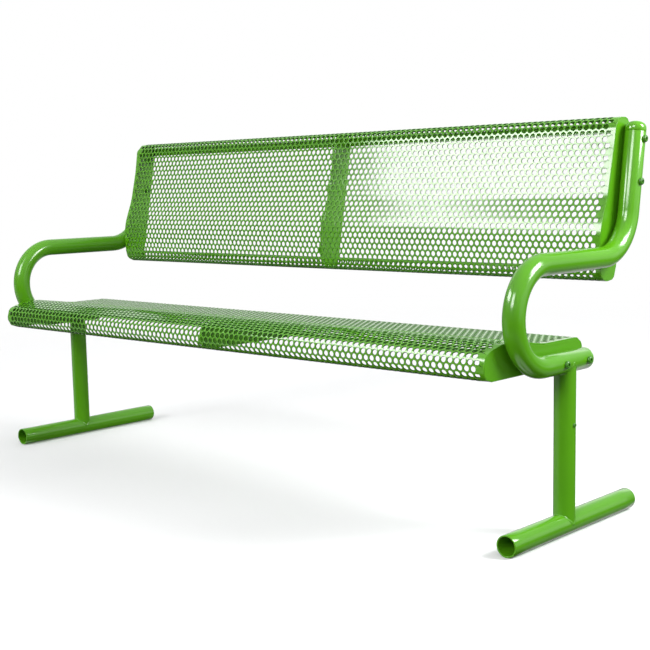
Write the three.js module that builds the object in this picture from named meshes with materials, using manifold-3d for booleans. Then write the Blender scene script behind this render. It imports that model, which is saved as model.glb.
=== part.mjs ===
// Park bench with a back and arms. Two bent-tube end frames, each standing on a leg and a foot tube,
// carry a perforated steel seat and a perforated steel back on bolted end plates.
// Millimetres. +X runs along the bench to the sitter's left end, +Y to the rear, +Z up.
// Y is first measured from the leg axis; the last lines move the bench so that its box is centred.

import * as THREE from 'three';
import { mergeVertices } from 'three/addons/utils/BufferGeometryUtils.js';
import Module from 'manifold-3d';

const wasm = await Module();
wasm.setup();

// Tube stock and the bench's length, measured over the two frame tubes.
const BENCH_LENGTH = 1828.8;
const TUBE_OD = 48.3;
const TUBE_WALL = 3.2;
const TUBE_RADIUS = TUBE_OD / 2;
const FRAME_X = BENCH_LENGTH / 2 - TUBE_RADIUS;
const CONTACT_GAP = 0.3;

// Frame tube centre line: level under the seat, round the front, level as the arm, up the back.
const SEAT_TUBE_Z = 383;
const ARM_Z = 599.5;
const SEAT_TUBE_REAR_Y = 76;
const FRAME_FRONT_Y = -197;
const FRONT_BEND_RADIUS = (ARM_Z - SEAT_TUBE_Z) / 2;
const BACK_CORNER_Y = 251.8;
const BACK_BEND_RADIUS = 118;
const BACK_LEAN = THREE.MathUtils.degToRad(8.7);
const BACK_TUBE_TOP_Z = 879.5;

// Foot tube and leg.
const FOOT_FRONT_Y = -224.5;
const FOOT_REAR_Y = 274.5;
const FOOT_Z = TUBE_RADIUS;

// Pressed end caps, each a skirt, a round shoulder and a flat crown: tall on the back, low under the seat.
const TOP_CAP = { height: 23, shoulderRadius: 16 };
const REAR_CAP = { height: 6, shoulderRadius: 5 };
const CAP_WALL = 3;

// Perforated sheets and the plates that they are welded to.
const SHEET_THICKNESS = 3;
const PLATE_THICKNESS = 5;
const PLATE_OUTER_X = FRAME_X - TUBE_RADIUS - CONTACT_GAP;

// Outer faces of the two sheets as [y, z, corner radius], from one free edge to the other.
const SEAT_OUTLINE = [
  [-238.5, 368.5, 0],
  [-268.5, 368.5, 28],
  [-268.5, 427, 30],
  [-183, 447, 160],
  [-45, 427, 160],
  [112, 427, 30],
  [112, 368.5, 28],
  [82, 368.5, 0],
];
const BACK_OUTLINE = [
  [257.7, 571, 0],
  [252, 541, 26],
  [185.5, 541, 33],
  [182, 652, 150],
  [215, 737, 160],
  [244, 860, 160],
  [254, 915, 33],
  [323, 915, 28],
  [316, 878, 0],
];

// Fasteners: button-head bolts through tube and plate, each with a washer and a nut inside.
const SEAT_BOLT_Y = [-32, 59];
const BACK_BOLT_Z = [767, 863];
const BOLT_DIAMETER = 10;
const BOLT_HOLE_RADIUS = 5.6;
const BOLT_HEAD_RADIUS = 8.75;
const BOLT_HEAD_HEIGHT = 5.5;
const BOLT_TIP_PAST_NUT = 3;
// Button head as [share of the radius, share of the height], from its under-face rim to its crown.
const BUTTON_PROFILE = [
  [1, 0],
  [1, 0.25],
  [0.85, 0.7],
  [0.55, 1],
];
const SOCKET_ACROSS_FLATS = 6;
const SOCKET_DEPTH = 3;
const WASHER_RADIUS = 10;
const WASHER_THICKNESS = 2;
const NUT_ACROSS_FLATS = 17;
const NUT_HEIGHT = 8;
const LEG_SCREW_Z = 247;
const LEG_SCREW_DIAMETER = 5;
const LEG_SCREW_HOLE_RADIUS = 2.9;
const LEG_SCREW_HEAD_RADIUS = 4.8;
const LEG_SCREW_HEAD_HEIGHT = 2.8;
const LEG_SCREW_LENGTH = 10;

// Facets. Tube sections have a flat on each axis, so a foot rests on a true flat.
const TUBE_SIDES = 20;
const FASTENER_SIDES = 12;
const ARC_STEP = THREE.MathUtils.degToRad(15);

const COATING_COLOUR = 0x4fae24;
const FASTENER_COLOUR = 0x2f7416;
const COATING_ROUGHNESS = 0.25;
const COATING_METALNESS = 0;

const ENDS = [
  { name: 'right', side: 1 },
  { name: 'left', side: -1 },
];

// Turns an outline drawn in (y, z) and extruded along its normal so that it runs along X.
const OUTLINE_TO_BENCH = new THREE.Matrix4().makeBasis(
  new THREE.Vector3(0, 1, 0),
  new THREE.Vector3(0, 0, 1),
  new THREE.Vector3(1, 0, 0),
);

const bench = new THREE.Group();

function addPiece(name, geometry, colour = COATING_COLOUR) {
  const material = new THREE.MeshStandardMaterial({
    color: colour,
    roughness: COATING_ROUGHNESS,
    metalness: COATING_METALNESS,
  });
  const piece = new THREE.Mesh(geometry, material);
  piece.name = name;
  bench.add(piece);
  return piece;
}

// --- Outlines -----------------------------------------------------------------------------------

// A line of straight runs with round corners, as points that each know their direction.
function roundedLine(corners) {
  const points = corners.map(([y, z]) => new THREE.Vector2(y, z));
  const directionFrom = (i) => points[i + 1].clone().sub(points[i]).normalize();
  const last = points.length - 1;
  const stations = [{ point: points[0], direction: directionFrom(0) }];
  for (let i = 1; i < last; i += 1) {
    stations.push(...roundCorner(points[i], directionFrom(i - 1), directionFrom(i), corners[i][2]));
  }
  stations.push({ point: points[last], direction: directionFrom(last - 1) });
  return stations;
}

function roundCorner(corner, directionIn, directionOut, radius) {
  const turn = Math.atan2(directionIn.cross(directionOut), directionIn.dot(directionOut));
  const start = corner.clone().addScaledVector(directionIn, -radius * Math.tan(Math.abs(turn) / 2));
  const toCentre = new THREE.Vector2(-directionIn.y, directionIn.x).multiplyScalar(Math.sign(turn));
  const centre = start.clone().addScaledVector(toCentre, radius);
  const steps = Math.max(1, Math.round(Math.abs(turn) / ARC_STEP));
  const origin = new THREE.Vector2();
  return Array.from({ length: steps + 1 }, (_, step) => ({
    point: start.clone().rotateAround(centre, (turn * step) / steps),
    direction: directionIn.clone().rotateAround(origin, (turn * step) / steps),
  }));
}

// The same line moved to its right-hand side, which is the inside of both sheets.
function insetPoints(stations, distance) {
  return stations.map(({ point, direction }) => new THREE.Vector2(
    point.x + direction.y * distance,
    point.y - direction.x * distance,
  ));
}

// The same line with both of its free ends carried straight on.
function lengthened(stations, distance) {
  const last = stations.length - 1;
  const carry = { 0: -distance, [last]: distance };
  return stations.map(({ point, direction }, i) => ({
    point: point.clone().addScaledVector(direction, carry[i] ?? 0),
    direction,
  }));
}

// A regular polygon whose flats lie at the given radius, with one flat on each axis.
function flatSidedCircle(radius, sides, centreX = 0, centreY = 0) {
  const cornerRadius = radius / Math.cos(Math.PI / sides);
  return Array.from({ length: sides }, (_, i) => {
    const angle = ((i + 0.5) * 2 * Math.PI) / sides;
    return new THREE.Vector2(
      centreX + cornerRadius * Math.cos(angle),
      centreY + cornerRadius * Math.sin(angle),
    );
  });
}

function ringShape(outerPoints, innerPoints) {
  const shape = new THREE.Shape(outerPoints);
  shape.holes.push(new THREE.Path(innerPoints));
  return shape;
}

function tubeSection() {
  return ringShape(
    flatSidedCircle(TUBE_RADIUS, TUBE_SIDES),
    flatSidedCircle(TUBE_RADIUS - TUBE_WALL, TUBE_SIDES),
  );
}

function extrudeAlongX(shape, length) {
  const geometry = new THREE.ExtrudeGeometry(shape, { depth: length, bevelEnabled: false });
  geometry.translate(0, 0, -length / 2);
  return geometry.applyMatrix4(OUTLINE_TO_BENCH);
}

// --- Cutting ------------------------------------------------------------------------------------

function toSolid(geometry) {
  const bare = geometry.clone();
  bare.deleteAttribute('normal');
  bare.deleteAttribute('uv');
  const merged = mergeVertices(bare);
  return new wasm.Manifold(new wasm.Mesh({
    numProp: 3,
    vertProperties: new Float32Array(merged.attributes.position.array),
    triVerts: new Uint32Array(merged.index.array),
  }));
}

function cut(geometry, cutters) {
  let solid = toSolid(geometry);
  for (const cutter of cutters) {
    solid = solid.subtract(toSolid(cutter));
  }
  const mesh = solid.getMesh();
  const result = new THREE.BufferGeometry();
  result.setAttribute('position', new THREE.BufferAttribute(mesh.vertProperties, mesh.numProp));
  result.setIndex(new THREE.BufferAttribute(mesh.triVerts, 1));
  result.computeVertexNormals();
  return result;
}

function drillAlongX(radius, fromX, toX, y, z) {
  const drill = extrudeAlongX(new THREE.Shape(flatSidedCircle(radius, FASTENER_SIDES)), toX - fromX);
  return drill.translate((fromX + toX) / 2, y, z);
}

// --- Frame tubes --------------------------------------------------------------------------------

// A path with one step per given station: close together in the bends, far apart on the straights.
class StationPath extends THREE.Curve {
  constructor(stations) {
    super();
    this.stations = stations;
  }

  stationAt(t) {
    return this.stations[Math.round(t * (this.stations.length - 1))];
  }

  getPoint(t) {
    const { point } = this.stationAt(t);
    return new THREE.Vector3(0, point.x, point.y);
  }

  getTangent(t) {
    const { direction } = this.stationAt(t);
    return new THREE.Vector3(0, direction.x, direction.y);
  }

  getUtoTmapping(u) {
    return u;
  }
}

function uprightAxisY(z) {
  return BACK_CORNER_Y + (z - ARM_Z) * Math.tan(BACK_LEAN);
}

function frameTubeStations() {
  return roundedLine([
    [SEAT_TUBE_REAR_Y, SEAT_TUBE_Z, 0],
    [FRAME_FRONT_Y, SEAT_TUBE_Z, FRONT_BEND_RADIUS],
    [FRAME_FRONT_Y, ARM_Z, FRONT_BEND_RADIUS],
    [BACK_CORNER_Y, ARM_Z, BACK_BEND_RADIUS],
    [uprightAxisY(BACK_TUBE_TOP_Z), BACK_TUBE_TOP_Z, 0],
  ]).filter(({ point }, i, all) => i === 0 || point.distanceTo(all[i - 1].point) > CONTACT_GAP);
}

// Where the bolts cross a frame tube, as [name, y, z].
function boltPlaces() {
  return [
    ...SEAT_BOLT_Y.map((y, i) => [`seat_bolt_${i + 1}`, y, SEAT_TUBE_Z]),
    ...BACK_BOLT_Z.map((z, i) => [`back_bolt_${i + 1}`, uprightAxisY(z), z]),
  ];
}

function frameTubeGeometry() {
  const stations = frameTubeStations();
  const tube = new THREE.ExtrudeGeometry(tubeSection(), {
    steps: stations.length - 1,
    extrudePath: new StationPath(stations),
  });
  return cut(tube, boltPlaces().map(([, y, z]) => drillAlongX(BOLT_HOLE_RADIUS, -TUBE_OD, TUBE_OD, y, z)));
}

// --- Legs, feet and caps ------------------------------------------------------------------------

// A straight length of solid or hollow section along Y.
function barAlongY(shape, fromY, toY) {
  const bar = new THREE.ExtrudeGeometry(shape, { depth: toY - fromY, bevelEnabled: false });
  return bar.rotateX(-Math.PI / 2).translate(0, fromY, 0);
}

// The leg is coped to sit on the foot tube and to carry the frame tube.
function legTubeGeometry(side) {
  const leg = new THREE.ExtrudeGeometry(tubeSection(), { depth: SEAT_TUBE_Z - FOOT_Z, bevelEnabled: false });
  leg.translate(0, 0, FOOT_Z);
  const coping = new THREE.Shape(flatSidedCircle(TUBE_RADIUS + CONTACT_GAP, TUBE_SIDES));
  const outboard = [0, side * TUBE_OD].sort((a, b) => a - b);
  return cut(leg, [
    barAlongY(coping, -TUBE_OD, TUBE_OD).translate(0, 0, FOOT_Z),
    barAlongY(coping, -TUBE_OD, TUBE_OD).translate(0, 0, SEAT_TUBE_Z),
    drillAlongX(LEG_SCREW_HOLE_RADIUS, ...outboard, 0, LEG_SCREW_Z),
  ]);
}

function footTubeGeometry() {
  return barAlongY(tubeSection(), FOOT_FRONT_Y, FOOT_REAR_Y).translate(0, 0, FOOT_Z);
}

// A pressed dome with its skirt's rim at the origin and its crown on +Y.
function capGeometry(cap) {
  const profile = [...capProfile(cap, 0), ...capProfile(cap, CAP_WALL).reverse()];
  return new THREE.LatheGeometry([...profile, profile[0]], TUBE_SIDES);
}

function capProfile(cap, inset) {
  const radius = TUBE_RADIUS - inset;
  const shoulder = cap.shoulderRadius - inset;
  const height = cap.height - inset;
  const steps = Math.round(Math.PI / 2 / ARC_STEP);
  const arc = Array.from({ length: steps + 1 }, (_, step) => {
    const angle = (step / steps) * (Math.PI / 2);
    return new THREE.Vector2(
      radius - shoulder + shoulder * Math.cos(angle),
      height - shoulder + shoulder * Math.sin(angle),
    );
  });
  return [new THREE.Vector2(radius, 0), ...arc, new THREE.Vector2(0, height)];
}

// --- Sheets and plates --------------------------------------------------------------------------

function sheetGeometry(outline) {
  const stations = roundedLine(outline);
  const outer = insetPoints(stations, 0);
  const inner = insetPoints(stations, SHEET_THICKNESS).reverse();
  return extrudeAlongX(new THREE.Shape([...outer, ...inner]), 2 * PLATE_OUTER_X);
}

// A plate fills the inside of a sheet and comes out flush with it past the sheet's two free edges.
function plateGeometry(outline, bolts) {
  const line = lengthened(roundedLine(outline), CONTACT_GAP);
  const inside = insetPoints(line, SHEET_THICKNESS + CONTACT_GAP);
  const shape = new THREE.Shape([line[0].point, ...inside, line[line.length - 1].point]);
  for (const [, y, z] of bolts) {
    shape.holes.push(new THREE.Path(flatSidedCircle(BOLT_HOLE_RADIUS, FASTENER_SIDES, y, z)));
  }
  return extrudeAlongX(shape, PLATE_THICKNESS);
}

// --- Fasteners ----------------------------------------------------------------------------------

// A round-headed fastener on the Y axis: its head above the origin, its shank below.
function buttonFastener(headRadius, headHeight, shankDiameter, shankLength) {
  const profile = [
    new THREE.Vector2(0, -shankLength),
    new THREE.Vector2(shankDiameter / 2, -shankLength),
    new THREE.Vector2(shankDiameter / 2, 0),
    ...BUTTON_PROFILE.map(([across, up]) => new THREE.Vector2(headRadius * across, headHeight * up)),
    new THREE.Vector2(0, headHeight),
  ];
  const fastener = new THREE.LatheGeometry(profile, FASTENER_SIDES);
  const socketRadius = SOCKET_ACROSS_FLATS / 2;
  const socketFloor = headHeight - Math.min(SOCKET_DEPTH, headHeight / 2);
  const socket = new THREE.CylinderGeometry(socketRadius, socketRadius, headHeight, 6);
  return cut(fastener, [socket.translate(0, socketFloor + headHeight / 2, 0)]);
}

function boltGeometry() {
  const grip = TUBE_OD + PLATE_THICKNESS + WASHER_THICKNESS + 4 * CONTACT_GAP;
  const shankLength = grip + NUT_HEIGHT + BOLT_TIP_PAST_NUT;
  return buttonFastener(BOLT_HEAD_RADIUS, BOLT_HEAD_HEIGHT, BOLT_DIAMETER, shankLength);
}

function legScrewGeometry() {
  return buttonFastener(LEG_SCREW_HEAD_RADIUS, LEG_SCREW_HEAD_HEIGHT, LEG_SCREW_DIAMETER, LEG_SCREW_LENGTH);
}

function washerGeometry() {
  const rim = flatSidedCircle(WASHER_RADIUS, 2 * FASTENER_SIDES);
  const hole = flatSidedCircle(BOLT_HOLE_RADIUS, FASTENER_SIDES);
  return extrudeAlongX(ringShape(rim, hole), WASHER_THICKNESS);
}

function nutGeometry() {
  const hole = flatSidedCircle(BOLT_DIAMETER / 2 + CONTACT_GAP, FASTENER_SIDES);
  return extrudeAlongX(ringShape(flatSidedCircle(NUT_ACROSS_FLATS / 2, 6), hole), NUT_HEIGHT);
}

// --- Assembly -----------------------------------------------------------------------------------

// Turns a piece made on +Y so that it points outward along X.
function pointOutboard(piece, side) {
  piece.rotation.z = (-side * Math.PI) / 2;
}

function addEndFrame({ name, side }) {
  const frameX = side * FRAME_X;
  addPiece(`frame_tube_${name}`, frameTubeGeometry()).position.x = frameX;
  addPiece(`leg_tube_${name}`, legTubeGeometry(side)).position.x = frameX;
  addPiece(`foot_tube_${name}`, footTubeGeometry()).position.x = frameX;

  const rearCap = addPiece(`seat_tube_cap_${name}`, capGeometry(REAR_CAP));
  rearCap.position.set(frameX, SEAT_TUBE_REAR_Y + CONTACT_GAP, SEAT_TUBE_Z);

  const topCap = addPiece(`back_tube_cap_${name}`, capGeometry(TOP_CAP));
  const seamZ = BACK_TUBE_TOP_Z + CONTACT_GAP;
  topCap.position.set(frameX, uprightAxisY(seamZ), seamZ);
  topCap.rotation.x = Math.PI / 2 - BACK_LEAN;

  const legScrew = addPiece(`leg_screw_${name}`, legScrewGeometry(), FASTENER_COLOUR);
  legScrew.position.set(side * (FRAME_X + TUBE_RADIUS + CONTACT_GAP), 0, LEG_SCREW_Z);
  pointOutboard(legScrew, side);
}

function addPlates({ name, side }) {
  const plateX = side * (PLATE_OUTER_X - PLATE_THICKNESS / 2);
  const bolts = boltPlaces();
  const seatBolts = bolts.filter(([bolt]) => bolt.startsWith('seat'));
  const backBolts = bolts.filter(([bolt]) => bolt.startsWith('back'));
  addPiece(`seat_end_plate_${name}`, plateGeometry(SEAT_OUTLINE, seatBolts)).position.x = plateX;
  addPiece(`back_end_plate_${name}`, plateGeometry(BACK_OUTLINE, backBolts)).position.x = plateX;
}

function addFasteners({ name, side }) {
  const washerX = PLATE_OUTER_X - PLATE_THICKNESS - CONTACT_GAP - WASHER_THICKNESS / 2;
  const nutX = washerX - WASHER_THICKNESS / 2 - CONTACT_GAP - NUT_HEIGHT / 2;
  for (const [place, y, z] of boltPlaces()) {
    const bolt = addPiece(`${place}_${name}`, boltGeometry(), FASTENER_COLOUR);
    bolt.position.set(side * (FRAME_X + TUBE_RADIUS + CONTACT_GAP), y, z);
    pointOutboard(bolt, side);
    const washer = addPiece(`${place.replace('bolt', 'washer')}_${name}`, washerGeometry(), FASTENER_COLOUR);
    washer.position.set(side * washerX, y, z);
    const nut = addPiece(`${place.replace('bolt', 'nut')}_${name}`, nutGeometry(), FASTENER_COLOUR);
    nut.position.set(side * nutX, y, z);
  }
}

addPiece('seat_sheet', sheetGeometry(SEAT_OUTLINE));
addPiece('seat_center_rib', plateGeometry(SEAT_OUTLINE, []));
addPiece('back_sheet', sheetGeometry(BACK_OUTLINE));
addPiece('back_center_rib', plateGeometry(BACK_OUTLINE, []));
for (const end of ENDS) {
  addEndFrame(end);
  addPlates(end);
  addFasteners(end);
}

const extent = new THREE.Box3().setFromObject(bench, true);
bench.position.y = -(extent.min.y + extent.max.y) / 2;

export default bench;
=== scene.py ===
"""Looks of the park bench: round coated tubes, truly perforated sheets, welds, caps and bolts."""
import math

import bpy
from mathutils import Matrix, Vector, noise
from mathutils.geometry import tessellate_polygon


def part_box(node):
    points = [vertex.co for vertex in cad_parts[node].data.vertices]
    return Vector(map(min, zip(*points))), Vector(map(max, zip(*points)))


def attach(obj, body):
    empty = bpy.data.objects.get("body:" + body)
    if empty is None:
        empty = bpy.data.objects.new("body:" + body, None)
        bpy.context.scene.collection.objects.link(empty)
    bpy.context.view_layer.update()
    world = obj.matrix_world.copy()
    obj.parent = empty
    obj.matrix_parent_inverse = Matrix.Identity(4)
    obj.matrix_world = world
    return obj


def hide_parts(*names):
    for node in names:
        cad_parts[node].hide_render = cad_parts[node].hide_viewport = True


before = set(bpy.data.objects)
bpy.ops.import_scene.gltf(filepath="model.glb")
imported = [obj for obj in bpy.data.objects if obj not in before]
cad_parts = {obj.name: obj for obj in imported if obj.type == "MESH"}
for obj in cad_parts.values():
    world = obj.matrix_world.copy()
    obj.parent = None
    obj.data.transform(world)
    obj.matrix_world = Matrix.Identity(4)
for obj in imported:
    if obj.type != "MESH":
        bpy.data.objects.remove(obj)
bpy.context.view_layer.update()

MM = 0.001
UP = Vector((0, 0, 1))
ALONG = Vector((1, 0, 0))
REARWARD = Vector((0, 1, 0))

# The bench as the CAD model has it, in millimetres, with Y from the leg axis and Z from the floor.
TUBE_RADIUS = 24.15
TUBE_WALL = 3.2
SEAT_TUBE_Z = 383
ARM_Z = 599.5
SEAT_TUBE_REAR_Y = 76
FRAME_FRONT_Y = -197
FRONT_BEND_RADIUS = (ARM_Z - SEAT_TUBE_Z) / 2
BACK_CORNER_Y = 251.8
BACK_BEND_RADIUS = 118
BACK_LEAN = math.radians(8.7)
BACK_TUBE_TOP_Z = 879.5
TOP_CAP = {"height": 23, "shoulder": 16}
REAR_CAP = {"height": 6, "shoulder": 5}
CAP_WALL = 3
SHEET_THICKNESS = 3
PLATE_THICKNESS = 5
CONTACT_GAP = 0.3
SEAT_OUTLINE = [
    (-238.5, 368.5, 0),
    (-268.5, 368.5, 28),
    (-268.5, 427, 30),
    (-183, 447, 160),
    (-45, 427, 160),
    (112, 427, 30),
    (112, 368.5, 28),
    (82, 368.5, 0),
]
BACK_OUTLINE = [
    (257.7, 571, 0),
    (252, 541, 26),
    (185.5, 541, 33),
    (182, 652, 150),
    (215, 737, 160),
    (244, 860, 160),
    (254, 915, 33),
    (323, 915, 28),
    (316, 878, 0),
]

# Fasteners: where they cross the tubes, and their sizes.
SEAT_BOLT_Y = (-32, 59)
BACK_BOLT_Z = (767, 863)
BOLT = {"head_radius": 8.75, "head_height": 5.5, "shank_radius": 5.0, "socket": 6}
LEG_SCREW = {"head_radius": 4.8, "head_height": 2.8, "shank_radius": 2.5, "socket": 3}
LEG_SCREW_LENGTH = 10
BOLT_HOLE_RADIUS = 5.6
BOLT_HOLE_SIDES = 24
NUT_ACROSS_FLATS = 17

# Perforation: rows run along the bench, every second row half a pitch over.
HOLE_DIAMETER = 13.0
HOLE_PITCH = 16.96
ROW_SPACING = 14.62
LONG_ROW_HOLES = 101
SEAT_ROWS = 34
BACK_ROWS = 36
BACK_PLAIN_ROWS = 1
HOLE_SIDES = 12
EDGE_ROUNDING = 0.6

# How far the sheets and caps stay inside the CAD faces, and the small rounding of the plates.
INSIDE_BOX = 0.2
PLATE_EDGE = 0.8

# Fineness of the round surfaces.
TUBE_SEGMENTS = 64
ARC_STEP = math.radians(4)
SMOOTH_LIMIT = math.radians(35)

ENDS = (("right", 1), ("left", -1))

# Studio: room brightness by elevation in degrees, and panels as azimuths (0 is towards the
# front, 90 towards +X), elevations, softness of the edge and strength.
ROOM_LEVELS = [
    (-85, 1.3),
    (-70, 1.1),
    (-58, 0.03),
    (-45, 0.03),
    (-28, 0.30),
    (-12, 0.06),
    (3, 0.30),
    (22, 0.75),
    (50, 0.85),
]
STUDIO_PANELS = [
    ((-8, 18), (19, 41), 2.5, 15.0),
    ((84, 150), (-4, 18), 6, 0.9),
    ((-100, -28), (-30, -2), 5, 0.5),
    ((-178, -142), (-32, -8), 5, 0.6),
    ((-172, -105), (0, 28), 6, 0.9),
]

# Camera, in metres and degrees, with Y from the leg axis.
CAMERA_PLACE = (2.2562, -2.2292, 0.7757)
CAMERA_HEADING = 43.2864
CAMERA_TILT = 7.6826
CAMERA_ROLL = -1.2001
CAMERA_LENS = 66.26
CAMERA_SHIFT = (0.0109, 0.0316)


def middle(node):
    low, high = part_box(node)
    return (low + high) / 2


LEG_AXIS_Y = middle("leg_tube_right").y
FRAME_X = middle("leg_tube_right").x
SHEET_HALF_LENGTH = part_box("seat_sheet")[1].x


# --- Meshes -------------------------------------------------------------------------------------


def add_piece(name, vertices, faces, material, nodes, normals=None, uvs=None, hole_shade_weights=None):
    """A new piece that rides on the bench and stands for the named CAD nodes."""
    mesh = bpy.data.meshes.new(name)
    mesh.from_pydata([tuple(v) for v in vertices], [], faces)
    mesh.validate()
    mesh.polygons.foreach_set("use_smooth", [True] * len(mesh.polygons))
    if normals is None:
        mesh.set_sharp_from_angle(angle=SMOOTH_LIMIT)
    else:
        mesh.normals_split_custom_set_from_vertices([tuple(n) for n in normals])
    if uvs is not None:
        layer = mesh.uv_layers.new(name="OFBake")
        corners = [0] * len(mesh.loops)
        mesh.loops.foreach_get("vertex_index", corners)
        layer.data.foreach_set("uv", [value for i in corners for value in uvs[i]])
    # Per-vertex weight of the painted shade on the walls of the holes.
    if hole_shade_weights is not None:
        mesh.attributes.new("hole_shade_weight", "FLOAT", "POINT").data.foreach_set("value", hole_shade_weights)
    mesh.materials.append(material)
    piece = bpy.data.objects.new(name, mesh)
    bpy.context.scene.collection.objects.link(piece)
    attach(piece, "root")
    if nodes:
        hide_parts(*nodes)
    return piece


def bridge(rings, closed):
    """Quads between rings of equal length; closed joins the last ring to the first."""
    count = len(rings[0])
    pairs = list(zip(rings, rings[1:]))
    if closed:
        pairs.append((rings[-1], rings[0]))
    faces = []
    for a, b in pairs:
        for i in range(count):
            j = (i + 1) % count
            faces.append((a[i], a[j], b[j], b[i]))
    return faces


class MeshData:
    """Vertices and faces as they are collected, with rings given back as index lists."""

    def __init__(self):
        self.vertices = []
        self.faces = []

    def ring(self, points):
        first = len(self.vertices)
        self.vertices.extend(points)
        return list(range(first, len(self.vertices)))

    def skin(self, rings, closed=False):
        self.faces.extend(bridge(rings, closed))

    def cap(self, ring, turned=False):
        self.faces.append(tuple(reversed(ring)) if turned else tuple(ring))

    def join(self, other):
        shift = len(self.vertices)
        self.vertices.extend(other.vertices)
        self.faces.extend(tuple(v + shift for v in face) for face in other.faces)


# --- Outlines -----------------------------------------------------------------------------------


def rounded_line(corners, step=ARC_STEP):
    """Straight runs with round corners, as (point, direction) stations in millimetres."""
    points = [Vector((y, z)) for y, z, _ in corners]
    directions = [(b - a).normalized() for a, b in zip(points, points[1:])]
    stations = [(points[0], directions[0])]
    for i in range(1, len(points) - 1):
        stations += round_corner(points[i], directions[i - 1], directions[i], corners[i][2], step)
    stations.append((points[-1], directions[-1]))
    return stations


def turned(vector, angle):
    cosine, sine = math.cos(angle), math.sin(angle)
    return Vector((vector.x * cosine - vector.y * sine, vector.x * sine + vector.y * cosine))


def round_corner(corner, direction_in, direction_out, radius, step):
    turn = math.atan2(direction_in.cross(direction_out), direction_in.dot(direction_out))
    start = corner - direction_in * radius * math.tan(abs(turn) / 2)
    side = math.copysign(1, turn)
    centre = start + Vector((-direction_in.y, direction_in.x)) * side * radius
    steps = max(2, round(abs(turn) / step))
    return [
        (centre + turned(start - centre, turn * i / steps), turned(direction_in, turn * i / steps))
        for i in range(steps + 1)
    ]


class Outline:
    """An outline that can be read at any distance along it."""

    def __init__(self, corners):
        self.stations = rounded_line(corners)
        self.distances = [0.0]
        for (a, _), (b, _) in zip(self.stations, self.stations[1:]):
            self.distances.append(self.distances[-1] + (b - a).length)
        self.length = self.distances[-1]

    def at(self, distance):
        """Point and outward normal, in millimetres, at a distance from the first free edge."""
        distance = min(max(distance, 0.0), self.length)
        i = 0
        while i < len(self.distances) - 2 and self.distances[i + 1] < distance:
            i += 1
        span = self.distances[i + 1] - self.distances[i]
        share = (distance - self.distances[i]) / span if span > 0 else 0.0
        point = self.stations[i][0].lerp(self.stations[i + 1][0], share)
        direction = self.stations[i][1].lerp(self.stations[i + 1][1], share).normalized()
        return point, Vector((-direction.y, direction.x))


def to_bench(x, y, z):
    """A point given in millimetres from the leg axis, in the bench's own frame in metres."""
    return Vector((x * MM, y * MM + LEG_AXIS_Y, z * MM))


# --- Perforated sheets --------------------------------------------------------------------------


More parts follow.
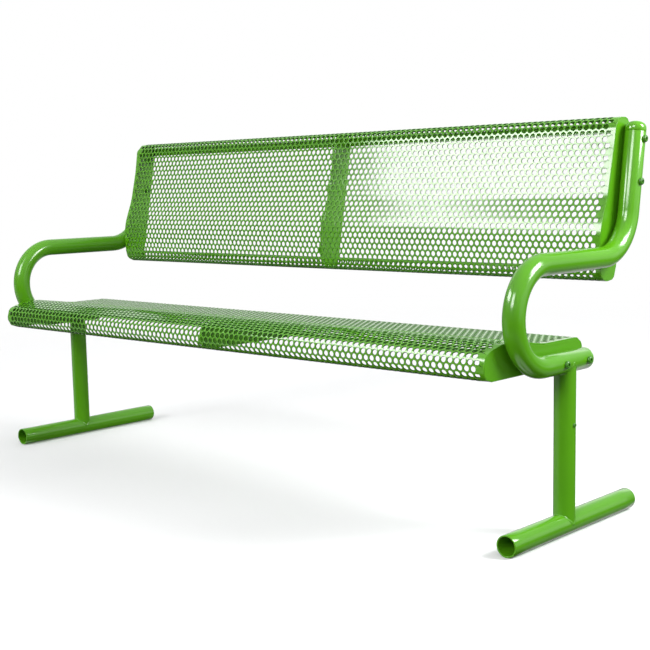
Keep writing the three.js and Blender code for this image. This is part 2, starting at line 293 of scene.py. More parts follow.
class Sheet:
    """Half of a rolled sheet, made of one six-sided cell per hole and closed all round."""

    def __init__(self, outline, row_count, plain_rows, first_row_long, side):
        self.outline = outline
        self.row_count = row_count
        self.hole_rows = row_count - plain_rows
        self.first_row_long = first_row_long
        self.side = side
        self.half = SHEET_HALF_LENGTH / MM
        self.rows = self.row_places()
        self.vertices = []
        self.normals = []
        self.uvs = []
        self.hole_shade_weights = []
        self.faces = []
        self.corner_index = {}

    def row_places(self):
        first = (self.outline.length - (self.row_count - 1) * ROW_SPACING) / 2
        return [first + i * ROW_SPACING for i in range(self.row_count)]

    def is_long(self, row):
        return (row % 2 == 0) == self.first_row_long

    def add_vertex(self, x, s, depth, normal, uv, hole_shade_weight=0.0):
        point, outward = self.outline.at(s)
        placed = point - outward * (depth + INSIDE_BOX)
        self.vertices.append(to_bench(x, placed.x, placed.y))
        self.normals.append(normal)
        self.uvs.append(self.to_uv(*uv))
        self.hole_shade_weights.append(hole_shade_weight)
        return len(self.vertices) - 1

    def outward(self, s):
        normal = self.outline.at(s)[1]
        return Vector((0, normal.x, normal.y))

    def tangent(self, s):
        normal = self.outline.at(s)[1]
        return Vector((0, normal.y, -normal.x))

    def to_uv(self, x, s, back):
        """The outer face fills the lower half of the map and the inner face the upper half."""
        across = 0.02 + 0.96 * (abs(x) + HOLE_PITCH) / (self.half + 2 * HOLE_PITCH)
        up = (0.02 + 0.96 * s / self.outline.length + back) / 2
        return across, up

    def corners(self, x, s, back):
        """A cell corner on the outer or inner face, moved in where the sheet's edge is rounded."""
        key = (round(x, 2), round(s, 2), back)
        if key not in self.corner_index:
            depth = SHEET_THICKNESS if back else 0
            sign = -1 if back else 1
            limit = self.half - EDGE_ROUNDING
            inner_x = max(-limit, min(limit, x))
            inner_s = max(EDGE_ROUNDING, min(self.outline.length - EDGE_ROUNDING, s))
            normal = self.outward(inner_s) * sign
            self.corner_index[key] = self.add_vertex(inner_x, inner_s, depth, normal, (x, s, back))
        return self.corner_index[key]

    def line_between(self, row, x_low, x_high):
        """Corners of the zigzag below a row (or the straight free edge), from x_low to x_high."""
        half_pitch = HOLE_PITCH / 2
        near = (ROW_SPACING**2 - half_pitch**2) / (2 * ROW_SPACING)
        far = ROW_SPACING - near
        columns = []
        k = math.ceil((x_low - 0.01) / half_pitch)
        while k * half_pitch <= x_high + 0.01:
            columns.append(k)
            k += 1
        points = []
        for k in columns:
            if row == 0:
                s = 0.0
            elif row == len(self.rows):
                s = self.outline.length
            else:
                over_hole_below = (k % 2 == 0) == self.is_long(row - 1)
                s = self.rows[row - 1] + (far if over_hole_below else near)
            points.append((k * half_pitch, s))
        if x_low < -self.half + 0.01:
            points.insert(0, (-self.half, points[0][1]))
        if x_high > self.half - 0.01:
            points.append((self.half, points[-1][1]))
        return points

    def hole_places(self, row):
        """Hole centres of a row on this half, each with the reach of its cell."""
        count = LONG_ROW_HOLES if self.is_long(row) else LONG_ROW_HOLES - 1
        first = -(count - 1) * HOLE_PITCH / 2
        places = []
        for i in range(count):
            x = first + i * HOLE_PITCH
            if (x >= -0.01) != (self.side > 0):
                continue
            low = -self.half if i == 0 else x - HOLE_PITCH / 2
            high = self.half if i == count - 1 else x + HOLE_PITCH / 2
            places.append((x, low, high))
        return places

    def ring(self, x, s, radius, depth, kind, map_radius, back):
        """A ring round a hole; kind says whether it faces out, in or towards the hole's axis."""
        ring = []
        for i in range(HOLE_SIDES):
            angle = 2 * math.pi * (i + 0.5) / HOLE_SIDES
            across, up = math.cos(angle), math.sin(angle)
            place = s + radius * up
            if kind == "axis":
                normal = -(ALONG * across + self.tangent(place) * up)
            else:
                normal = self.outward(place) * (1 if kind == "out" else -1)
            uv = (x + map_radius * across, s + map_radius * up, back)
            # The walls of the hole take the painted hole shade in full; the faces of the sheet take none.
            hole_shade_weight = 1.0 if kind == "axis" else 0.0
            ring.append(self.add_vertex(x + radius * across, place, depth, normal, uv, hole_shade_weight))
        return ring

    def stitch(self, x, s, polygon, ring, back):
        """Triangles between a cell's outline and the ring round its hole, by angle."""
        outer = sorted((math.atan2(ps - s, px - x) % (2 * math.pi), v) for px, ps, v in polygon)
        inner = [(2 * math.pi * (i + 0.5) / HOLE_SIDES, v) for i, v in enumerate(ring)]
        i = j = 0
        while i < len(outer) or j < len(inner):
            next_outer = outer[(i + 1) % len(outer)][0] + (2 * math.pi if i + 1 >= len(outer) else 0)
            next_inner = inner[(j + 1) % len(inner)][0] + (2 * math.pi if j + 1 >= len(inner) else 0)
            a = outer[i % len(outer)][1]
            b = inner[j % len(inner)][1]
            if j >= len(inner) or (i < len(outer) and next_outer <= next_inner):
                triangle = (b, a, outer[(i + 1) % len(outer)][1])
                i += 1
            else:
                triangle = (b, a, inner[(j + 1) % len(inner)][1])
                j += 1
            self.faces.append(tuple(reversed(triangle)) if back else triangle)

    def add_cell(self, row, x, low, high):
        s = self.rows[row]
        outline = self.line_between(row, low, high) + self.line_between(row + 1, low, high)[::-1]
        if row >= self.hole_rows:
            self.add_plain_cell(x, s, outline)
            return
        radius = HOLE_DIAMETER / 2
        wide = radius + EDGE_ROUNDING
        thickness = SHEET_THICKNESS
        rings = [
            self.ring(x, s, wide, 0, "out", wide, 0),
            self.ring(x, s, radius, EDGE_ROUNDING, "axis", radius * 0.85, 0),
            self.ring(x, s, radius, thickness - EDGE_ROUNDING, "axis", radius * 0.5, 0),
            self.ring(x, s, wide, thickness, "in", wide, 1),
        ]
        front = [(px, ps, self.corners(px, ps, 0)) for px, ps in outline]
        back = [(px, ps, self.corners(px, ps, 1)) for px, ps in outline]
        self.stitch(x, s, front, rings[0], False)
        self.stitch(x, s, back, rings[3], True)
        self.faces.extend(bridge(rings, False))

    def add_plain_cell(self, x, s, outline):
        """A cell without a hole, as fans on both faces of the sheet."""
        for back in (0, 1):
            centre = self.corners(x, s, back)
            rim = [self.corners(px, ps, back) for px, ps in outline]
            for a, b in zip(rim, rim[1:] + rim[:1]):
                self.faces.append((centre, b, a) if back else (centre, a, b))

    def close_edges(self):
        """Walls along the sheet's own edges, rounded, and plain ones where the halves meet."""
        single = {}
        for face in self.faces:
            for a, b in zip(face, face[1:] + face[:1]):
                if (b, a) in single:
                    del single[(b, a)]
                else:
                    single[(a, b)] = True
        place = {index: key for key, index in self.corner_index.items()}
        walls = {}
        for a, b in list(single):
            if a not in place or b not in place or place[a][2] or place[b][2]:
                continue
            left, right = self.edge_column(place[a], walls), self.edge_column(place[b], walls)
            if len(left) != len(right):
                self.faces.append((*left, *reversed(right)))
                continue
            for (p, q), (u, v) in zip(zip(left, left[1:]), zip(right, right[1:])):
                self.faces.append((u, p, q, v))

    def edge_column(self, key, walls):
        """Vertices down through the sheet's thickness at one place on its edge."""
        if key not in walls:
            x, s, _ = key
            column = [self.corner_index[(x, s, 0)]]
            outward = Vector((0, 0, 0))
            if abs(abs(x) - self.half) < 0.01:
                outward += ALONG * math.copysign(1, x)
            if s < 0.01:
                outward -= self.tangent(0)
            if s > self.outline.length - 0.01:
                outward += self.tangent(self.outline.length)
            if outward.length > 0:
                outward.normalize()
                for depth in (EDGE_ROUNDING, SHEET_THICKNESS - EDGE_ROUNDING):
                    column.append(self.add_vertex(x, s, depth, outward, (x, s, 0)))
            column.append(self.corner_index[(x, s, 1)])
            walls[key] = column
        return walls[key]

    def build(self, name, node, material):
        for row in range(len(self.rows)):
            for x, low, high in self.hole_places(row):
                self.add_cell(row, x, low, high)
        self.close_edges()
        return add_piece(
            name, self.vertices, self.faces, material, [node],
            self.normals, self.uvs, self.hole_shade_weights,
        )


def add_sheet(node, corners, row_count, plain_rows, first_row_long, material):
    """A rolled sheet in two halves; its last plain_rows rows, at the rear lip, have no holes."""
    outline = Outline(corners)
    for name, side in ENDS:
        sheet = Sheet(outline, row_count, plain_rows, first_row_long, side)
        sheet.build(f"{node}_{name}_half", node, material)


# --- Tubes --------------------------------------------------------------------------------------


def round_ring(centre, radius, first_axis, second_axis, segments=TUBE_SEGMENTS):
    points = []
    for i in range(segments):
        angle = 2 * math.pi * i / segments
        spoke = first_axis * math.cos(angle) + second_axis * math.sin(angle)
        points.append(centre + spoke * radius)
    return points


def hollow_tube(stations, radius, wall, rim=0.8):
    """A tube swept along (point, direction) stations in metres, closed at its two round rims."""
    data = MeshData()

    def ring(index, size, shift=0.0):
        point, direction = stations[index]
        side = direction.cross(ALONG)
        return data.ring(round_ring(point + direction * shift * MM, size * MM, ALONG, side))

    inside = radius - wall
    last = len(stations) - 1
    corner = rim * 0.3
    rings = [ring(0, radius - rim), ring(0, radius - corner, corner), ring(0, radius, rim)]
    rings += [ring(i, radius) for i in range(1, last)]
    rings += [ring(last, radius, -rim), ring(last, radius - corner, -corner), ring(last, radius - rim)]
    rings += [ring(last, inside + rim), ring(last, inside, -rim)]
    rings += [ring(i, inside) for i in range(last - 1, 0, -1)]
    rings += [ring(0, inside, rim), ring(0, inside + rim)]
    data.skin(rings, closed=True)
    return data


def upright_y(z):
    return BACK_CORNER_Y + (z - ARM_Z) * math.tan(BACK_LEAN)


def frame_tube_stations(x):
    line = rounded_line([
        (SEAT_TUBE_REAR_Y, SEAT_TUBE_Z, 0),
        (FRAME_FRONT_Y, SEAT_TUBE_Z, FRONT_BEND_RADIUS),
        (FRAME_FRONT_Y, ARM_Z, FRONT_BEND_RADIUS),
        (BACK_CORNER_Y, ARM_Z, BACK_BEND_RADIUS),
        (upright_y(BACK_TUBE_TOP_Z), BACK_TUBE_TOP_Z, 0),
    ])
    kept = [line[0]]
    for point, direction in line[1:]:
        if (point - kept[-1][0]).length > 1:
            kept.append((point, direction))
    return [
        (to_bench(x, point.x, point.y), Vector((0, direction.x, direction.y)))
        for point, direction in kept
    ]


def straight_stations(start, end, steps):
    direction = (end - start).normalized()
    return [(start.lerp(end, i / steps), direction) for i in range(steps + 1)]


def add_frame_tube(name, x):
    data = hollow_tube(frame_tube_stations(x), TUBE_RADIUS, TUBE_WALL)
    node = f"frame_tube_{name}"
    add_piece(f"bent_tube_{name}", data.vertices, data.faces, MATERIALS["tube"], [node])


def add_foot(name, x):
    node = f"foot_tube_{name}"
    low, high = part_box(node)
    start = Vector((x * MM, low.y, TUBE_RADIUS * MM))
    end = Vector((x * MM, high.y, TUBE_RADIUS * MM))
    data = hollow_tube(straight_stations(start, end, 12), TUBE_RADIUS, TUBE_WALL)
    add_piece(f"foot_{name}", data.vertices, data.faces, MATERIALS["tube"], [node])


def saddle_drop(angle, reach, radius):
    """How far a tube's surface stands off the other tube's axis, at an angle round the leg."""
    across = radius * math.cos(angle)
    return math.sqrt(max(reach**2 - across**2, 0.0))


def leg_rings(data, x, radius, reach):
    """Rings up a leg whose ends follow the foot tube below and the seat tube above."""
    rings = []
    steps = 16
    for step in range(steps + 1):
        points = []
        for i in range(TUBE_SEGMENTS):
            angle = 2 * math.pi * i / TUBE_SEGMENTS
            drop = saddle_drop(angle, reach, radius)
            low = TUBE_RADIUS + drop
            high = SEAT_TUBE_Z - drop
            z = low + (high - low) * step / steps
            points.append(to_bench(x + radius * math.cos(angle), radius * math.sin(angle), z))
        rings.append(data.ring(points))
    return rings


def add_leg(name, x):
    data = MeshData()
    node = f"leg_tube_{name}"
    outside = leg_rings(data, x, TUBE_RADIUS, TUBE_RADIUS + CONTACT_GAP / 2)
    inside = leg_rings(data, x, TUBE_RADIUS - TUBE_WALL, TUBE_RADIUS + CONTACT_GAP / 2)
    data.skin(outside + inside[::-1], closed=True)
    add_piece(f"leg_{name}", data.vertices, data.faces, MATERIALS["tube"], [node])


# --- Welds --------------------------------------------------------------------------------------


def bead(path, outward, width, height, seed, closed=True):
    """A weld bead along a path: a low rounded ridge with faint ripples, sunk half into the steel."""
    data = MeshData()
    sides = 10
    count = len(path)
    rings = []
    for i, point in enumerate(path):
        if closed:
            along = path[(i + 1) % count] - path[i - 1]
        else:
            along = path[min(i + 1, count - 1)] - path[max(i - 1, 0)]
        along.normalize()
        out = outward[i].normalized()
        side = along.cross(out).normalized()
        ripple = 1 + 0.07 * math.sin(i * 1.9 + seed) + 0.10 * noise.noise(point * 90 + Vector((seed, 0, 0)))
        taper = 1.0 if closed else math.sin(math.pi * (i + 0.5) / count) ** 0.35
        points = []
        for k in range(sides):
            angle = 2 * math.pi * k / sides
            points.append(
                point
                + side * math.cos(angle) * width * MM * ripple * taper
                + out * math.sin(angle) * height * MM * ripple * taper
            )
        rings.append(data.ring(points))
    data.skin(rings, closed=closed)
    if not closed:
        data.cap(rings[0], turned=True)
        data.cap(rings[-1])
    return data


def add_saddle_weld(name, x, axis_z, above, seed):
    """The weld round a leg where it meets a tube that runs across it."""
    path, outward = [], []
    count = 120
    sign = 1 if above else -1
    for i in range(count):
        angle = 2 * math.pi * i / count
        drop = saddle_drop(angle, TUBE_RADIUS, TUBE_RADIUS)
        across = TUBE_RADIUS * math.cos(angle)
        forward = TUBE_RADIUS * math.sin(angle)
        path.append(to_bench(x + across, forward, axis_z + sign * drop))
        leg_normal = Vector((math.cos(angle), math.sin(angle), 0))
        tube_normal = Vector((math.cos(angle), 0, sign * abs(math.sin(angle))))
        outward.append(leg_normal + tube_normal)
    lifted = [point + out.normalized() * -0.6 * MM for point, out in zip(path, outward)]
    data = bead(lifted, outward, 3.4, 1.9, seed)
    add_piece(name, data.vertices, data.faces, MATERIALS["weld"], [])


# --- Turned pieces ------------------------------------------------------------------------------


def turned_piece(profile, place, axis, segments=TUBE_SEGMENTS):
    """A closed body turned about an axis; profile is (radius, height) in millimetres."""
    first = axis.orthogonal().normalized()
    second = axis.cross(first)
    data = MeshData()
    rings = []
    for radius, height in profile:
        centre = place + axis * height * MM
        rings.append(data.ring(round_ring(centre, radius * MM, first, second, segments)))
    return data, rings


def cap_profile(radius, height, shoulder, inset=0.0):
    steps = 14
    radius, height, shoulder = radius - inset, height - inset, shoulder - inset
    points = []
    for i in range(steps + 1):
        angle = (i / steps) * math.pi / 2
        across = radius - shoulder + shoulder * math.cos(angle)
        points.append((max(across, 0.4), height - shoulder + shoulder * math.sin(angle)))
    return points


def add_cap(name, node, place, axis, height, shoulder):
    """A pressed cap: a short skirt with a rounded rim, a shoulder and a nearly flat crown."""
    radius = TUBE_RADIUS - INSIDE_BOX
    rim = [(radius - 0.9, 0), (radius - 0.25, 0.25), (radius, 0.9)]
    outer = rim + cap_profile(radius, height, shoulder)
    crown = [(outer[-1][0] * share, height) for share in (0.6, 0.2)]
    inner = cap_profile(radius, height, shoulder, CAP_WALL)[::-1] + [(radius - CAP_WALL, 0)]
    under = [(inner[0][0] * share, height - CAP_WALL) for share in (0.2, 0.6)]
    data, rings = turned_piece(outer + crown + under + inner, place, axis)
    split = len(outer) + len(crown)
    data.skin(rings[:split])
    data.cap(rings[split - 1])
    data.skin(rings[split:])
    data.cap(rings[split], turned=True)
    data.skin([rings[-1], rings[0]])
    add_piece(name, data.vertices, data.faces, MATERIALS["tube"], [node])


# --- Plates -------------------------------------------------------------------------------------


def plate_outline(corners):
    """The inside of a rolled sheet, carried out flush past the sheet's free edges."""
    stations = rounded_line(corners)
    first_point, first_direction = stations[0]
    last_point, last_direction = stations[-1]
    stations[0] = (first_point - first_direction * CONTACT_GAP, first_direction)
    stations[-1] = (last_point + last_direction * CONTACT_GAP, last_direction)
    inset = SHEET_THICKNESS + CONTACT_GAP / 2
    inside = [
        point + Vector((direction.y, -direction.x)) * inset
        for point, direction in stations
    ]
    return [stations[0][0]] + inside + [stations[-1][0]]


def inset_loop(points, distance):
    """The same closed loop moved inward, with its corners mitred."""
    moved = []
    count = len(points)
    for i in range(count):
        before = (points[i] - points[i - 1]).normalized()
        after = (points[(i + 1) % count] - points[i]).normalized()
        normal = Vector((before.y + after.y, -before.x - after.x))
        if normal.length < 1e-6:
            normal = Vector((after.y, -after.x))
        normal.normalize()
        moved.append(points[i] + normal * distance)
    return moved


def bolt_hole(y, z):
    points = []
    for i in range(BOLT_HOLE_SIDES):
        angle = 2 * math.pi * i / BOLT_HOLE_SIDES
        across, up = math.cos(angle), math.sin(angle)
        points.append(Vector((y + BOLT_HOLE_RADIUS * across, z + BOLT_HOLE_RADIUS * up)))
    return points


def add_plate(name, node, corners, x_low, x_high, holes):
    """A flat plate with softened edges and its bolt holes, between two X positions."""
    outer = plate_outline(corners)
    inner = inset_loop(outer, PLATE_EDGE)
    circles = [bolt_hole(y, z) for y, z in holes]
    data = MeshData()

    def loop(points, x):
        return data.ring([to_bench(x, p.x, p.y) for p in points])

    low_face = loop(inner, x_low)
    low_edge = loop(outer, x_low + PLATE_EDGE)
    high_edge = loop(outer, x_high - PLATE_EDGE)
    high_face = loop(inner, x_high)
    low_holes = [loop(circle, x_low) for circle in circles]
    high_holes = [loop(circle, x_high) for circle in circles]
    data.skin([low_face, low_edge, high_edge, high_face])
    flat = [[Vector((p.x, p.y, 0)) for p in points] for points in [inner] + circles]
    for loops, is_high in (([low_face] + low_holes, False), ([high_face] + high_holes, True)):
        order = [index for one_loop in loops for index in one_loop]
        for triangle in tessellate_polygon(flat):
            face = [order[i] for i in triangle]
            data.faces.append(tuple(facing_x(face, data.vertices, is_high)))
    for low_hole, high_hole in zip(low_holes, high_holes):
        data.skin([high_hole, low_hole])
    add_piece(name, data.vertices, data.faces, MATERIALS["plate"], [node])


def facing_x(indices, vertices, positive):
    """A triangle's vertices in the order that makes it face +X, or -X."""
    a, b, c = (vertices[i] for i in indices)
    looks_positive = (b - a).cross(c - a).x > 0
    return indices if looks_positive == positive else indices[::-1]


def add_plates():
    half = SHEET_HALF_LENGTH / MM
    seat_bolts = [(y, SEAT_TUBE_Z) for y in SEAT_BOLT_Y]
    back_bolts = [(upright_y(z), z) for z in BACK_BOLT_Z]
    for part, corners, bolts in (("seat", SEAT_OUTLINE, seat_bolts), ("back", BACK_OUTLINE, back_bolts)):
        for name, side in ENDS:
            low, high = sorted([side * half, side * (half - PLATE_THICKNESS)])
            node = f"{part}_end_plate_{name}"
            add_plate(f"plate_mesh_{node}", node, corners, low, high, bolts)
        node = f"{part}_center_rib"
        add_plate(f"rib_mesh_{node}", node, corners, -PLATE_THICKNESS / 2, PLATE_THICKNESS / 2, [])


def stitch_weld(outline, x, side, middle_s, seed):
    """One short bead along an outline, on the given side of the plate face at x."""
    steps = 22
    step_length = 1.5
    lift = 0.8
    path, outward = [], []
    for k in range(steps):
        point, normal = outline.at(middle_s + (k - (steps - 1) / 2) * step_length)
        placed = point - normal * (SHEET_THICKNESS + lift)
        path.append(to_bench(x + side * lift, placed.x, placed.y))
        outward.append(Vector((side, -normal.x, -normal.y)))
    return bead(path, outward, 3.2, 2.0, seed, closed=False)


def add_plate_welds():
    """Short fillet welds that hold each plate and rib to the inside of its sheet."""
    half = SHEET_HALF_LENGTH / MM
    stitches = 6
    for part, corners in (("seat", SEAT_OUTLINE), ("back", BACK_OUTLINE)):
        outline = Outline(corners)
        places = [("right", half - PLATE_THICKNESS, -1), ("left", -half + PLATE_THICKNESS, 1)]
        places += [("center_right", PLATE_THICKNESS / 2, 1), ("center_left", -PLATE_THICKNESS / 2, -1)]
        for name, x, side in places:
            combined = MeshData()
            for i in range(stitches):
                middle_s = outline.length * (i + 0.5) / stitches
                combined.join(stitch_weld(outline, x, side, middle_s, i + abs(x) * 0.1))
            add_piece(
                f"{part}_stitch_welds_{name}",
                combined.vertices,
                combined.faces,
                MATERIALS["weld"],
                [],
            )


# --- Fasteners ----------------------------------------------------------------------------------


def hex_radius(angle, apothem):
    sector = (angle % (math.pi / 3)) - math.pi / 6
    return apothem / math.cos(sector)


def shaped_ring(place, axis, height, radius_at, segments=24):
    """A ring about an axis whose radius, in millimetres, changes with the angle."""
    first = UP if abs(axis.z) < 0.5 else ALONG
    second = axis.cross(first)
    points = []
    for i in range(segments):
        angle = 2 * math.pi * i / segments
        spoke = first * math.cos(angle) + second * math.sin(angle)
        points.append(place + axis * height * MM + spoke * radius_at(angle) * MM)
    return points


def circle(radius):
    return lambda angle: radius


def hexagon(across_flats):
    return lambda angle: hex_radius(angle, across_flats / 2)


def button_fastener(node, place, axis, shank_length, head_radius, head_height, shank_radius, socket):
    """A button-head bolt or screw: domed head with a hexagon socket, and ridges at its tip."""
    data = MeshData()
    segments = 24

    def ring(height, radius_at):
        return data.ring(shaped_ring(place, axis, height, radius_at, segments))

    tip = [ring(-shank_length, circle(shank_radius - 1.2)), ring(-shank_length + 1.0, circle(shank_radius))]
    ridges = []
    height = -shank_length + 1.5
    while height < -shank_length + 12:
        ridges.append(ring(height, circle(shank_radius - 0.6)))
        ridges.append(ring(height + 0.6, circle(shank_radius)))
        height += 1.2
    head = [
        ring(0, circle(shank_radius)),
        ring(0, circle(head_radius - 0.3)),
        ring(0.3, circle(head_radius)),
    ]
    steps = 7
    dome = math.radians(68)
    for i in range(steps):
        angle = (i + 1) / steps * dome
        rise = head_height * (0.22 + 0.78 * math.sin(angle) / math.sin(dome))
        spread = math.cos(angle) * 0.48 + 0.52
        head.append(ring(rise, circle(head_radius * spread)))
    mouth = ring(head_height, hexagon(socket + 0.6))
    throat = ring(head_height - 0.4, hexagon(socket))
    floor = ring(head_height - min(3.0, head_height * 0.6), hexagon(socket))
    data.skin(tip + ridges + head + [mouth, throat, floor])
    data.cap(tip[0], turned=True)
    data.cap(floor)
    add_piece(f"{node}_fine", data.vertices, data.faces, MATERIALS["fasteners"], [node])


def add_washer(name, node, place, axis):
    """A flat washer whose edges are slightly rounded, outside and in the hole."""
    data = MeshData()
    profile = [
        (5.7, -0.8),
        (6.0, -1.0),
        (9.6, -1.0),
        (10.0, -0.7),
        (10.0, 0.7),
        (9.6, 1.0),
        (6.0, 1.0),
        (5.7, 0.8),
    ]
    rings = [data.ring(shaped_ring(place, axis, height, circle(radius), 40)) for radius, height in profile]
    data.skin(rings, closed=True)
    add_piece(name, data.vertices, data.faces, MATERIALS["fasteners"], [node])


def add_nut(name, node, place, axis):
    """A hexagon nut whose corners are turned off at both faces."""
    data = MeshData()

    def trimmed(angle):
        return min(hex_radius(angle, NUT_ACROSS_FLATS / 2), 9.4)

    half_profile = [
        (3.6, circle(5.3)),
        (4.0, circle(5.9)),
        (4.0, circle(8.1)),
        (3.2, trimmed),
        (2.7, hexagon(NUT_ACROSS_FLATS)),
    ]
    profile = [(-height, shape) for height, shape in half_profile] + half_profile[::-1]
    rings = [data.ring(shaped_ring(place, axis, height, shape, 48)) for height, shape in profile]
    data.skin(rings, closed=True)
    add_piece(name, data.vertices, data.faces, MATERIALS["fasteners"], [node])


def outer_and_inner_x(node, side):
    """The X of a fastener's outermost and innermost points."""
    low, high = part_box(node)
    return (high.x, low.x) if side > 0 else (low.x, high.x)


def add_fasteners(name, side):
    axis = ALONG * side
    for place in ("seat_bolt_1", "seat_bolt_2", "back_bolt_1", "back_bolt_2"):
        node = f"{place}_{name}"
        washer = node.replace("bolt", "washer")
        nut = node.replace("bolt", "nut")
        outermost, tip_x = outer_and_inner_x(node, side)
        head_x = outermost - side * BOLT["head_height"] * MM
        seat = Vector((head_x, middle(washer).y, middle(washer).z))
        button_fastener(node, seat, axis, abs(head_x - tip_x) / MM, **BOLT)
        add_washer(f"{washer}_fine", washer, middle(washer), axis)
        add_nut(f"{nut}_fine", nut, middle(nut), axis)
    screw = f"leg_screw_{name}"
    outermost, _ = outer_and_inner_x(screw, side)
    head_x = outermost - side * LEG_SCREW["head_height"] * MM
    seat = Vector((head_x, middle(screw).y, middle(screw).z))
    button_fastener(screw, seat, axis, LEG_SCREW_LENGTH, **LEG_SCREW)


# --- Materials ----------------------------------------------------------------------------------


def coating(name, deep, light, roughness, grain, bump, painted_hole_shade_colour=None):
    """Glossy coloured coating: slow colour drift, uneven gloss and a fine orange-peel surface.

    Where the mesh marks the walls of the holes, the colour is darkened towards the given deep
    green: painted shade inside the holes, where the walls lie in shadow.
    """
    material = bpy.data.materials.new(name)
    material.use_nodes = True
    nodes, links = material.node_tree.nodes, material.node_tree.links
    shader = nodes["Principled BSDF"]
    place = nodes.new("ShaderNodeTexCoord").outputs["Object"]

    def noise_at(scale, detail):
        texture = nodes.new("ShaderNodeTexNoise")
        texture.inputs["Scale"].default_value = scale
        texture.inputs["Detail"].default_value = detail
        links.new(place, texture.inputs["Vector"])
        return texture.outputs["Fac"]

    def ranged(source, low, high):
        node = nodes.new("ShaderNodeMapRange")
        node.inputs["From Min"].default_value = 0.3
        node.inputs["From Max"].default_value = 0.7
        node.inputs["To Min"].default_value = low
        node.inputs["To Max"].default_value = high
        links.new(source, node.inputs["Value"])
        return node.outputs["Result"]

    drift = nodes.new("ShaderNodeMix")
    drift.data_type = "RGBA"
    drift.inputs["A"].default_value = (*deep, 1)
    drift.inputs["B"].default_value = (*light, 1)
    blotches = nodes.new("ShaderNodeMath")
    blotches.operation = "MULTIPLY"
    links.new(ranged(noise_at(5, 4), 0.2, 1.0), blotches.inputs[0])
    links.new(ranged(noise_at(grain / 6, 3), 0.8, 1.0), blotches.inputs[1])
    links.new(blotches.outputs["Value"], drift.inputs["Factor"])
    colour = drift.outputs["Result"]
    # Painted shade: the walls of the holes are darkened towards a deep green.
    if painted_hole_shade_colour is not None:
        hole_shade_weight = nodes.new("ShaderNodeAttribute")
        hole_shade_weight.attribute_name = "hole_shade_weight"
        painted_hole_shade_mix = nodes.new("ShaderNodeMix")
        painted_hole_shade_mix.data_type = "RGBA"
        painted_hole_shade_mix.inputs["B"].default_value = (*painted_hole_shade_colour, 1)
        links.new(hole_shade_weight.outputs["Fac"], painted_hole_shade_mix.inputs["Factor"])
        links.new(colour, painted_hole_shade_mix.inputs["A"])
        colour = painted_hole_shade_mix.outputs["Result"]
    links.new(colour, shader.inputs["Base Color"])
    links.new(ranged(noise_at(28, 5), roughness[0], roughness[1]), shader.inputs["Roughness"])

    peel = nodes.new("ShaderNodeBump")
    peel.inputs["Strength"].default_value = bump
    peel.inputs["Distance"].default_value = 0.0004
    links.new(noise_at(grain, 2), peel.inputs["Height"])
    links.new(peel.outputs["Normal"], shader.inputs["Normal"])
    shader.inputs["Specular IOR Level"].default_value = 0.5
    return material


def floor_material():
    """Pale matt floor that fades into the bright studio a few metres from the bench."""
    material = bpy.data.materials.new("studio_floor")
    material.use_nodes = True
    nodes, links = material.node_tree.nodes, material.node_tree.links
    nodes.remove(nodes["Principled BSDF"])
    matt = nodes.new("ShaderNodeBsdfDiffuse")
    matt.inputs["Color"].default_value = (0.775, 0.78, 0.785, 1)
    glow = nodes.new("ShaderNodeEmission")
    glow.inputs["Color"].default_value = (1, 1, 1, 1)
    place = nodes.new("ShaderNodeTexCoord").outputs["Object"]
    length = nodes.new("ShaderNodeVectorMath")
    length.operation = "LENGTH"
    links.new(place, length.inputs[0])
    fade = nodes.new("ShaderNodeMapRange")
    fade.interpolation_type = "SMOOTHSTEP"
    fade.inputs["From Min"].default_value = 1.5
    fade.inputs["From Max"].default_value = 5.0
    links.new(length.outputs["Value"], fade.inputs["Value"])
    mix = nodes.new("ShaderNodeMixShader")
    links.new(fade.outputs["Result"], mix.inputs["Fac"])
    links.new(matt.outputs["BSDF"], mix.inputs[1])
    links.new(glow.outputs["Emission"], mix.inputs[2])
    links.new(mix.outputs["Shader"], nodes["Material Output"].inputs["Surface"])
    return material


STEEL_GREENS = ((0.068, 0.260, 0.005), (0.086, 0.302, 0.007))
WELD_GREENS = ((0.064, 0.250, 0.005), (0.082, 0.292, 0.007))
FASTENER_GREENS = ((0.026, 0.140, 0.004), (0.044, 0.190, 0.007))
# Painted shade: the deep green that the walls of the perforation holes are darkened to.
HOLE_WALL_SHADE_GREEN = (0.010, 0.075, 0.002)

MATERIALS = {
    "tube": coating("green_coating", *STEEL_GREENS, (0.10, 0.20), 420, 0.10),
    "sheet": coating("green_sheet_coating", *STEEL_GREENS, (0.10, 0.20), 300, 0.12, painted_hole_shade_colour=HOLE_WALL_SHADE_GREEN),
    "plate": coating("green_plate_coating", *STEEL_GREENS, (0.12, 0.22), 360, 0.12),
    "weld": coating("green_weld_coating", *WELD_GREENS, (0.14, 0.26), 520, 0.20),
    "fasteners": coating("green_fastener_paint", *FASTENER_GREENS, (0.20, 0.34), 700, 0.25),
}


# --- Assembly -----------------------------------------------------------------------------------


def add_end(name, side):
    """One end frame: its tubes, welds, caps and fasteners."""
    x = side * FRAME_X / MM
    add_frame_tube(name, x)
    add_foot(name, x)
    add_leg(name, x)
    add_saddle_weld(f"leg_top_weld_{name}", x, SEAT_TUBE_Z, False, 1 + side)
    add_saddle_weld(f"leg_foot_weld_{name}", x, TUBE_RADIUS, True, 4 + side)
    top_z = BACK_TUBE_TOP_Z + CONTACT_GAP
    top_place = to_bench(x, upright_y(top_z), top_z)
    top_axis = Vector((0, math.sin(BACK_LEAN), math.cos(BACK_LEAN)))
    add_cap(f"top_cap_{name}", f"back_tube_cap_{name}", top_place, top_axis, **TOP_CAP)
    rear_place = to_bench(x, SEAT_TUBE_REAR_Y + CONTACT_GAP, SEAT_TUBE_Z)
    add_cap(f"rear_cap_{name}", f"seat_tube_cap_{name}", rear_place, REARWARD, **REAR_CAP)
    add_fasteners(name, side)


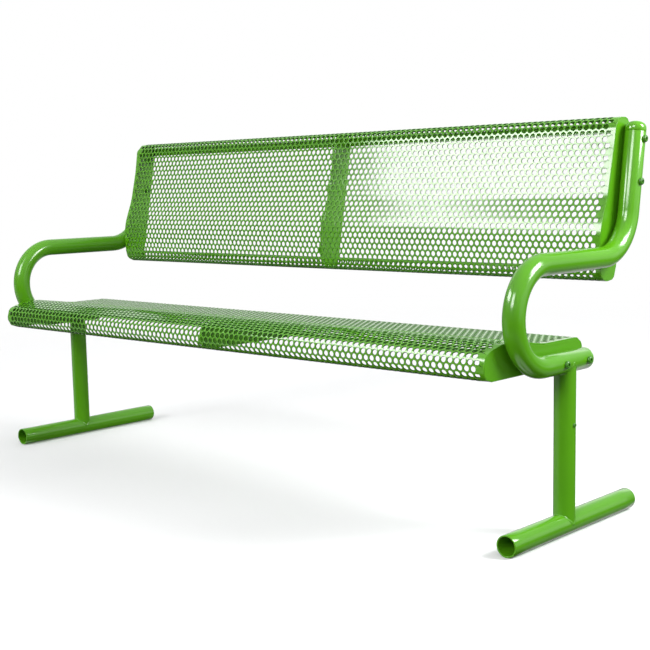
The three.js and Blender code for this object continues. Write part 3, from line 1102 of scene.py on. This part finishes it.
def add_floor():
    bpy.ops.mesh.primitive_plane_add(size=60, location=(0, 0, 0))
    floor = bpy.context.object
    floor.name = "studio_floor"
    floor.data.materials.append(floor_material())
    floor.visible_diffuse = False
    floor.visible_glossy = False
    floor.visible_shadow = False


class Sky:
    """Node helpers for the studio round the bench, painted by direction in degrees."""

    def __init__(self, tree):
        self.nodes, self.links = tree.nodes, tree.links
        direction = self.nodes.new("ShaderNodeTexCoord").outputs["Generated"]
        split = self.nodes.new("ShaderNodeSeparateXYZ")
        self.links.new(direction, split.inputs[0])
        backward = self.math("MULTIPLY", split.outputs["Y"], -1.0)
        self.azimuth = self.math("DEGREES", self.math("ARCTAN2", split.outputs["X"], backward))
        self.elevation = self.math("DEGREES", self.math("ARCSINE", split.outputs["Z"]))

    def math(self, operation, first, second=None):
        node = self.nodes.new("ShaderNodeMath")
        node.operation = operation
        for socket, value in zip(node.inputs, (first, second)):
            if isinstance(value, (int, float)):
                socket.default_value = value
            elif value is not None:
                self.links.new(value, socket)
        return node.outputs["Value"]

    def step(self, value, start, end, low=0.0, high=1.0):
        """Smooth change from low to high as the value passes from start to end."""
        node = self.nodes.new("ShaderNodeMapRange")
        node.interpolation_type = "SMOOTHSTEP"
        node.inputs["From Min"].default_value = start
        node.inputs["From Max"].default_value = end
        node.inputs["To Min"].default_value = low
        node.inputs["To Max"].default_value = high
        self.links.new(value, node.inputs["Value"])
        return node.outputs["Result"]

    def band(self, value, low, high, soft):
        rise = self.step(value, low - soft, low + soft)
        fall = self.step(value, high - soft, high + soft, 1.0, 0.0)
        return self.math("MULTIPLY", rise, fall)

    def panel(self, azimuths, elevations, soft, strength):
        """A soft-edged bright panel."""
        across = self.band(self.azimuth, *azimuths, soft)
        upward = self.band(self.elevation, *elevations, soft)
        return self.math("MULTIPLY", self.math("MULTIPLY", across, upward), strength)

    def by_elevation(self, levels):
        """Brightness that changes with elevation through the given (degrees, level) stops."""
        total = levels[0][1]
        for (start, low), (end, high) in zip(levels, levels[1:]):
            total = self.math("ADD", self.step(self.elevation, start, end, 0.0, high - low), total)
        return total


def add_studio():
    """A bright room with soft panels, seen by the bench; the camera sees a white backdrop."""
    world = bpy.data.worlds.new("studio")
    bpy.context.scene.world = world
    world.use_nodes = True
    background = world.node_tree.nodes["Background"]
    background.inputs["Color"].default_value = (1, 1, 1, 1)
    sky = Sky(world.node_tree)
    light = sky.by_elevation(ROOM_LEVELS)
    for panel in STUDIO_PANELS:
        light = sky.math("ADD", light, sky.panel(*panel))
    seen = sky.nodes.new("ShaderNodeLightPath").outputs["Is Camera Ray"]
    strength = sky.nodes.new("ShaderNodeMix")
    strength.inputs["B"].default_value = 1.0
    sky.links.new(seen, strength.inputs["Factor"])
    sky.links.new(light, strength.inputs["A"])
    sky.links.new(strength.outputs["Result"], background.inputs["Strength"])
    add_lamps()


def add_lamp(name, place, target, width, height, watts, spread):
    light = bpy.data.lights.new(name, "AREA")
    light.shape = "RECTANGLE"
    light.size, light.size_y = width, height
    light.energy = watts
    light.spread = math.radians(spread)
    lamp = bpy.data.objects.new(name, light)
    lamp.location = place
    lamp.rotation_euler = (Vector(target) - Vector(place)).to_track_quat("-Z", "Y").to_euler()
    lamp.visible_camera = False
    bpy.context.scene.collection.objects.link(lamp)
    return lamp


def add_lamps():
    """A lamp behind the right end, and one at the left that only whitens the back by reflection."""
    add_lamp("rear_right_lamp", (2.50, 0.96, 1.93), (0.89, 0.10, 0.70), 0.93, 1.10, 82, 180)
    left_lamp = add_lamp("left_lamp", (-0.37, -1.15, 1.45), (0.62, 0.17, 0.80), 1.12, 0.44, 10.5, 110)
    left_lamp.visible_diffuse = False


def add_camera():
    """The camera, placed by its heading, downward tilt and roll."""
    camera_data = bpy.data.cameras.new("camera")
    camera = bpy.data.objects.new("camera", camera_data)
    heading, tilt, roll = (math.radians(a) for a in (CAMERA_HEADING, CAMERA_TILT, CAMERA_ROLL))
    level_forward = Vector((-math.sin(heading), math.cos(heading), 0))
    forward = level_forward * math.cos(tilt) - UP * math.sin(tilt)
    level = Vector((math.cos(heading), math.sin(heading), 0))
    upward = level.cross(forward)
    right = level * math.cos(roll) + upward * math.sin(roll)
    top = upward * math.cos(roll) - level * math.sin(roll)
    rotation = camera.matrix_world.to_3x3()
    rotation.col[0], rotation.col[1], rotation.col[2] = right, top, -forward
    camera.matrix_world = rotation.to_4x4()
    camera.location = Vector(CAMERA_PLACE) + Vector((0, LEG_AXIS_Y, 0))
    camera_data.sensor_width = 36
    camera_data.lens = CAMERA_LENS
    camera_data.shift_x, camera_data.shift_y = CAMERA_SHIFT
    camera_data.clip_end = 200
    bpy.context.scene.collection.objects.link(camera)
    bpy.context.scene.camera = camera


add_sheet("seat_sheet", SEAT_OUTLINE, SEAT_ROWS, 0, False, MATERIALS["sheet"])
add_sheet("back_sheet", BACK_OUTLINE, BACK_ROWS, BACK_PLAIN_ROWS, True, MATERIALS["sheet"])
add_plates()
add_plate_welds()
for end_name, end_side in ENDS:
    add_end(end_name, end_side)
add_floor()
add_studio()
add_camera()
bpy.context.scene.view_settings.view_transform = "Standard"
